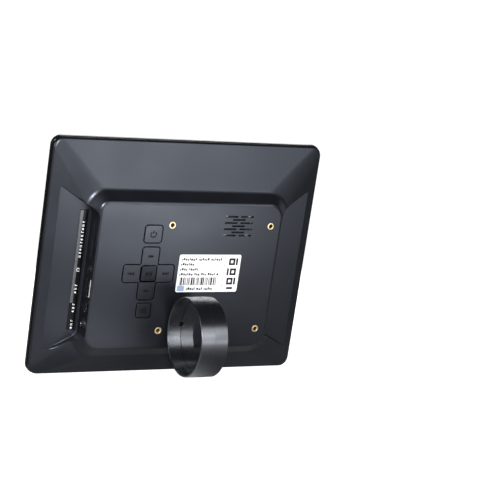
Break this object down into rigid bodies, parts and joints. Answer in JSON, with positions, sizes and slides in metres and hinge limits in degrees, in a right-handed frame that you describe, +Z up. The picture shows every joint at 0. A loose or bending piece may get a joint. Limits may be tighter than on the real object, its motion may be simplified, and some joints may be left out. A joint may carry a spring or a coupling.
{
  "type": "digital photo frame",
  "caption": "Freestanding digital photo frame: leaning display housing with rear keys, side port recess, loudspeaker grille and a swivelling ring stand.",
  "frame": {"origin": "on the table, at the middle of the bounding box's base, with the frame leaning back on its ring stand", "axes": "+X towards the port side (left seen from behind), +Y from the display towards the back, +Z up"},
  "size_m": [0.2008, 0.0872, 0.1597],
  "materials": {
    "satin_black_plastic": "satin moulded, fine spark texture",
    "gloss_black_plastic": "polished",
    "key_plastic": "satin moulded",
    "brass": "turned",
    "label_film": "satin white sticker",
    "gloss_black_film": "glossy sticker",
    "sheet_steel": "plated sheet",
    "clear_acrylic": "clear",
    "display_glass": "dark switched-off display",
    "flex_film": "amber film",
    "circuit_board": "green solder mask",
    "nickel_plate": "bright nickel",
    "ferrite": "sintered",
    "cone_paper": "black pulp",
    "white_plastic": "natural nylon",
    "lead_sheath": "matt",
    "chip_resin": "moulded resin",
    "black_moulding": "moulded"
  },
  "bodies": {
    "housing": {"front_bezel": "gloss_black_plastic", "rear_cover": "satin_black_plastic", "wall_insert_1": "brass", "wall_insert_2": "brass", "wall_insert_3": "brass", "wall_insert_4": "brass", "stand_insert": "brass", "stand_stud": "brass", "rating_label": "label_film", "port_strip": "gloss_black_film", "lcd_tray": "sheet_steel", "backlight_guide": "clear_acrylic", "lcd_glass": "display_glass", "lcd_flex": "flex_film", "mainboard": "circuit_board", "board_screw_1": "sheet_steel", "board_screw_2": "sheet_steel", "board_screw_3": "sheet_steel", "board_screw_4": "sheet_steel", "key_switch_power": "black_moulding", "key_switch_menu": "black_moulding", "key_switch_ok": "black_moulding", "key_switch_up": "black_moulding", "key_switch_down": "black_moulding", "key_switch_left": "black_moulding", "key_switch_right": "black_moulding", "card_socket": "sheet_steel", "headphone_socket": "black_moulding", "usb_socket": "nickel_plate", "usb_tongue": "black_moulding", "mini_usb_socket": "nickel_plate", "power_socket": "black_moulding", "power_pin": "nickel_plate", "processor_chip": "chip_resin", "memory_chip": "chip_resin", "flash_chip": "chip_resin", "filter_capacitor": "nickel_plate", "flex_connector": "black_moulding", "speaker_basket": "sheet_steel", "speaker_cone": "cone_paper", "speaker_magnet": "ferrite", "speaker_plug": "white_plastic", "speaker_lead": "lead_sheath"},
    "power_key": {"power_key": "key_plastic"},
    "menu_key": {"menu_key": "key_plastic"},
    "ok_key": {"ok_key": "key_plastic"},
    "pad_rocker": {"pad_rocker_washer": "black_moulding"},
    "arrow_pad": {"arrow_pad": "key_plastic"},
    "stand": {"stand_ring": "satin_black_plastic"}
  },
  "joints": [
    {"name": "power_key_press", "type": "slide", "parent": "housing", "child": "power_key", "axis": [0, -0.9613, 0.2756], "range_m": [0, 0.0005], "stiffness_N_per_m": 1000},
    {"name": "menu_key_press", "type": "slide", "parent": "housing", "child": "menu_key", "axis": [0, -0.9613, 0.2756], "range_m": [0, 0.0005], "stiffness_N_per_m": 1000},
    {"name": "ok_key_press", "type": "slide", "parent": "housing", "child": "ok_key", "axis": [0, -0.9613, 0.2756], "range_m": [0, 0.0005], "stiffness_N_per_m": 1000},
    {"name": "arrow_pad_rock_up_down", "type": "hinge", "parent": "housing", "child": "pad_rocker", "pos_m": [0.0284, -0.00688, 0.07049], "axis": [1, 0, 0], "range_deg": [-1.4, 1.4], "stiffness_Nm_per_rad": 0.8},
    {"name": "arrow_pad_rock_left_right", "type": "hinge", "parent": "pad_rocker", "child": "arrow_pad", "pos_m": [0.0284, -0.0047, 0.06986], "axis": [0, 0.2756, 0.9613], "range_deg": [-1.4, 1.4], "stiffness_Nm_per_rad": 0.8},
    {"name": "stand_swivel", "type": "hinge", "parent": "housing", "child": "stand", "pos_m": [0, -0.01104, 0.03494], "axis": [0, 0.9613, -0.2756], "range_deg": [-90, 90]}
  ]
}
